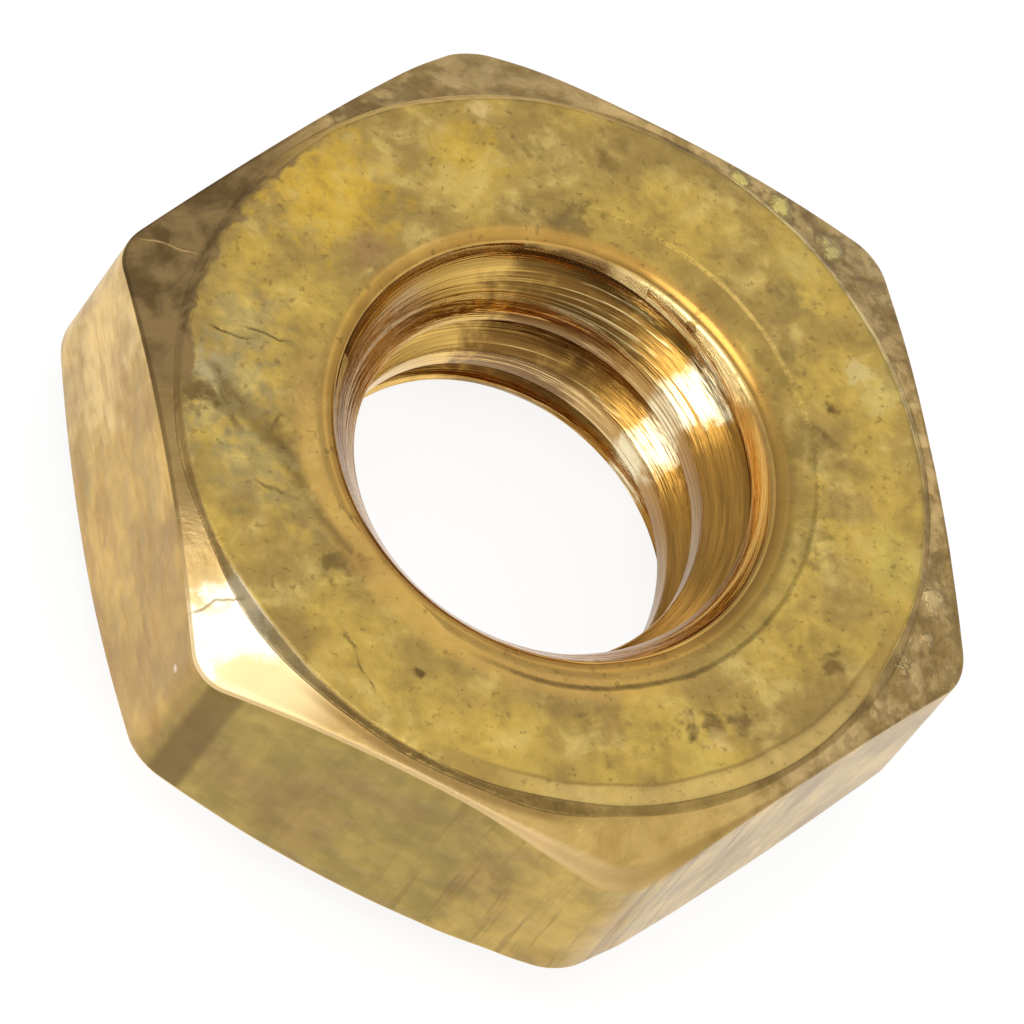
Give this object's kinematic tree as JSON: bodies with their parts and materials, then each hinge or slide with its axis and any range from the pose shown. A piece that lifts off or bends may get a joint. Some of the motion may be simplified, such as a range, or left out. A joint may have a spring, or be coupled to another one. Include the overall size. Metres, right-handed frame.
{
  "type": "hex jam nut",
  "caption": "Thin hexagonal nut in brass with chamfered corners on both faces and a countersunk right-hand threaded through hole.",
  "frame": {"origin": "centre of the lower bearing face, on the thread's axis", "axes": "+Z along the thread's axis to the upper bearing face, +X through the middle of a wrench flat, +Y through a corner"},
  "size_m": [0.0112, 0.0126, 0.004],
  "materials": {
    "brass": "lightly tarnished satin brass, brighter inside the thread"
  },
  "bodies": {
    "root": {"hex_nut": "brass"}
  },
  "joints": []
}
